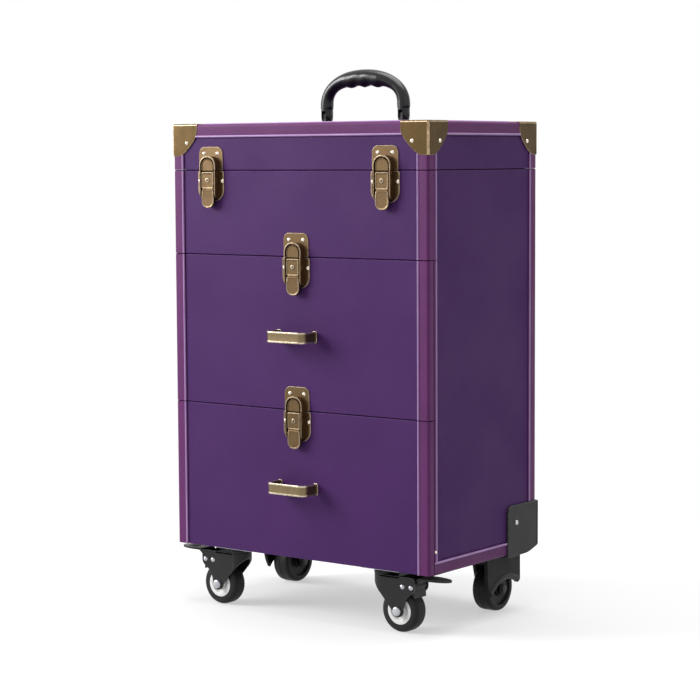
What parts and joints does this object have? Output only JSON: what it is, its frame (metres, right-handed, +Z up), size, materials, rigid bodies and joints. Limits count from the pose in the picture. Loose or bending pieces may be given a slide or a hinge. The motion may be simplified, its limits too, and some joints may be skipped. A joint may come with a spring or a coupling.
{
  "type": "rolling makeup case",
  "caption": "Upright leatherette-covered case on casters, with a hinged lid over a compartment, latched drawers with bow pulls, brass corners, a carry handle and a telescopic trolley handle.",
  "frame": {"origin": "on the floor, under the middle of the part's box: midway between the brake pedals' tips, and midway between the pulls and the trolley grip", "axes": "+X to the right as seen from the front, +Y from the drawer fronts to the back, +Z up"},
  "size_m": [0.442, 0.3, 0.712],
  "materials": {
    "leatherette": "embossed grain, satin",
    "binding": "pressed strip, semi-gloss",
    "lining": "flocked lining cloth",
    "drawer_board": "cloth-lined board",
    "antique_brass": "antique, tumbled",
    "zinc": "zinc plated",
    "tube": "anodised",
    "handle_plastic": "moulded, glossy",
    "black_plastic": "moulded, fine texture",
    "black_steel": "black powder coat, satin",
    "tyre_rubber": "matte",
    "hub_plastic": "moulded, white"
  },
  "bodies": {
    "case": {"left_side_panel": "leatherette", "right_side_panel": "leatherette", "back_panel": "leatherette", "bottom_panel": "lining", "compartment_floor": "lining", "compartment_front": "leatherette", "drawer_divider": "lining", "case_binding": "binding", "case_drawer_rails": "zinc", "hinge_case_leaves": "antique_brass", "hinge_pins": "zinc", "rear_wheel_housings": "black_plastic", "caster_plates": "zinc", "lid_latch_bases": "antique_brass", "upper_drawer_catch": "antique_brass", "case_rivets": "antique_brass", "trolley_outer_tubes": "tube", "trolley_brackets": "black_plastic"},
    "lid": {"lid_top_panel": "leatherette", "lid_walls": "leatherette", "lid_binding": "binding", "lid_corners": "antique_brass", "lid_rivets": "antique_brass", "lid_catches": "antique_brass", "hinge_lid_leaves": "antique_brass", "handle_brackets": "black_plastic"},
    "handle": {"carry_handle": "handle_plastic"},
    "stays": {"lid_stays": "zinc"},
    "left_lid_lever": {"left_lid_latch_lever": "antique_brass"},
    "right_lid_lever": {"right_lid_latch_lever": "antique_brass"},
    "upper_drawer": {"upper_drawer_front": "leatherette", "upper_drawer_box": "drawer_board", "upper_drawer_binding": "binding", "upper_drawer_rails": "zinc", "upper_drawer_pull": "antique_brass", "upper_drawer_latch_base": "antique_brass", "lower_drawer_catch": "antique_brass", "upper_drawer_rivets": "antique_brass"},
    "upper_lever": {"upper_drawer_latch_lever": "antique_brass"},
    "lower_drawer": {"lower_drawer_front": "leatherette", "lower_drawer_box": "drawer_board", "lower_drawer_binding": "binding", "lower_drawer_rails": "zinc", "lower_drawer_pull": "antique_brass", "lower_drawer_latch_base": "antique_brass", "lower_drawer_rivets": "antique_brass"},
    "lower_lever": {"lower_drawer_latch_lever": "antique_brass"},
    "left_fork": {"left_caster_fork": "black_steel"},
    "right_fork": {"right_caster_fork": "black_steel"},
    "left_caster_wheel": {"left_caster_tyre": "tyre_rubber", "left_caster_hub": "hub_plastic"},
    "right_caster_wheel": {"right_caster_tyre": "tyre_rubber", "right_caster_hub": "hub_plastic"},
    "left_pedal": {"left_brake_pedal": "black_steel"},
    "right_pedal": {"right_brake_pedal": "black_steel"},
    "left_rear": {"left_rear_wheel": "tyre_rubber"},
    "right_rear": {"right_rear_wheel": "tyre_rubber"},
    "trolley": {"trolley_inner_tubes": "tube", "trolley_grip": "black_plastic"},
    "button": {"trolley_button": "black_plastic"}
  },
  "joints": [
    {"name": "lid_hinge", "type": "hinge", "parent": "case", "child": "lid", "pos_m": [0, 0.1266, 0.58], "axis": [-1, 0, 0], "range_deg": [0, 95]},
    {"name": "stay_swing", "type": "hinge", "parent": "lid", "child": "stays", "pos_m": [0, 0.07043, 0.60044], "axis": [-1, 0, 0], "range_deg": [-47.5, 0]},
    {"name": "carry_handle_fold", "type": "hinge", "parent": "lid", "child": "handle", "pos_m": [0, 0.026, 0.651], "axis": [1, 0, 0], "range_deg": [-85, 85]},
    {"name": "left_lid_latch", "type": "hinge", "parent": "case", "child": "left_lid_lever", "pos_m": [-0.141, -0.1276, 0.576], "axis": [-1, 0, 0], "range_deg": [0, 90]},
    {"name": "right_lid_latch", "type": "hinge", "parent": "case", "child": "right_lid_lever", "pos_m": [0.141, -0.1276, 0.576], "axis": [-1, 0, 0], "range_deg": [0, 90]},
    {"name": "upper_drawer_slide", "type": "slide", "parent": "case", "child": "upper_drawer", "axis": [0, -1, 0], "range_m": [0, 0.17]},
    {"name": "upper_drawer_latch", "type": "hinge", "parent": "upper_drawer", "child": "upper_lever", "pos_m": [0, -0.1276, 0.466], "axis": [-1, 0, 0], "range_deg": [0, 90]},
    {"name": "lower_drawer_slide", "type": "slide", "parent": "case", "child": "lower_drawer", "axis": [0, -1, 0], "range_m": [0, 0.17]},
    {"name": "lower_drawer_latch", "type": "hinge", "parent": "lower_drawer", "child": "lower_lever", "pos_m": [0, -0.1276, 0.269], "axis": [-1, 0, 0], "range_deg": [0, 90]},
    {"name": "left_caster_swivel", "type": "hinge", "parent": "case", "child": "left_fork", "pos_m": [-0.121, -0.095, 0.075], "axis": [0, 0, 1], "continuous": true},
    {"name": "right_caster_swivel", "type": "hinge", "parent": "case", "child": "right_fork", "pos_m": [0.121, -0.095, 0.075], "axis": [0, 0, 1], "continuous": true},
    {"name": "left_caster_roll", "type": "hinge", "parent": "left_fork", "child": "left_caster_wheel", "pos_m": [-0.148, -0.095, 0.028], "axis": [0, 1, 0], "continuous": true},
    {"name": "right_caster_roll", "type": "hinge", "parent": "right_fork", "child": "right_caster_wheel", "pos_m": [0.148, -0.095, 0.028], "axis": [0, 1, 0], "continuous": true},
    {"name": "left_brake", "type": "hinge", "parent": "left_fork", "child": "left_pedal", "pos_m": [-0.169, -0.095, 0.06], "axis": [0, -1, 0], "range_deg": [0, 8]},
    {"name": "right_brake", "type": "hinge", "parent": "right_fork", "child": "right_pedal", "pos_m": [0.169, -0.095, 0.06], "axis": [0, 1, 0], "range_deg": [0, 8]},
    {"name": "left_rear_roll", "type": "hinge", "parent": "case", "child": "left_rear", "pos_m": [-0.168, 0.077, 0.03], "axis": [1, 0, 0], "continuous": true},
    {"name": "right_rear_roll", "type": "hinge", "parent": "case", "child": "right_rear", "pos_m": [0.168, 0.077, 0.03], "axis": [1, 0, 0], "continuous": true},
    {"name": "trolley_slide", "type": "slide", "parent": "case", "child": "trolley", "axis": [0, 0, -1], "range_m": [-0.38, 0]},
    {"name": "trolley_button_press", "type": "slide", "parent": "trolley", "child": "button", "axis": [0, 0, -1], "range_m": [0, 0.002], "stiffness_N_per_m": 300, "springref_m": -0.002}
  ],
  "couplings": [
    {"joint": "stay_swing", "follows": "lid_hinge", "ratio": -0.5}
  ]
}
